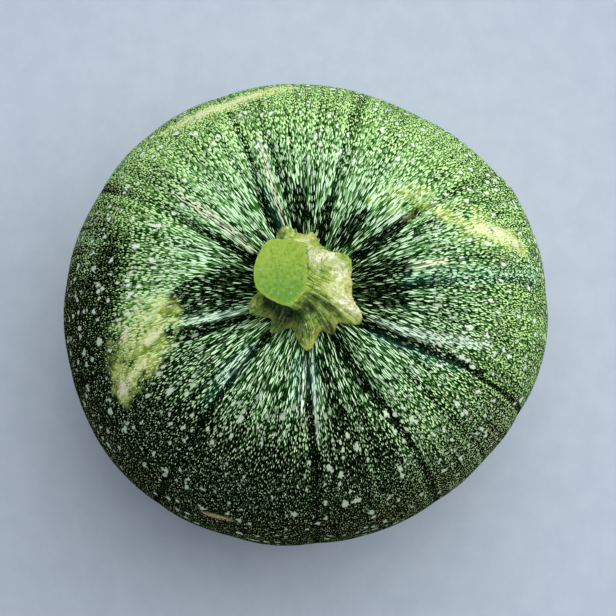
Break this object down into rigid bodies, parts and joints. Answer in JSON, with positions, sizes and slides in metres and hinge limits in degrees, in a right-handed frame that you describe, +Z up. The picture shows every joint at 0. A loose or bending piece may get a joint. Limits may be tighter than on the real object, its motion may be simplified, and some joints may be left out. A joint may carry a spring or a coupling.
{
  "type": "round zucchini",
  "caption": "Round summer squash with shallow lobes, a sunken stem end with its short cut stem, and a small flat spot to rest on.",
  "frame": {"origin": "on the ground, below the middle of the fruit's bounding box", "axes": "+Z up along the stem axis; seen from above with the stem leaning to the left, +X to the right and +Y away"},
  "size_m": [0.1034, 0.0989, 0.0871],
  "materials": {
    "rind": "satin dark green rind with fine pale green flecks, pale patches and darker grooves",
    "stem": "ridged yellow-green stem with a smooth wet-looking cut"
  },
  "bodies": {
    "root": {"fruit": "rind", "stem": "stem"}
  },
  "joints": []
}
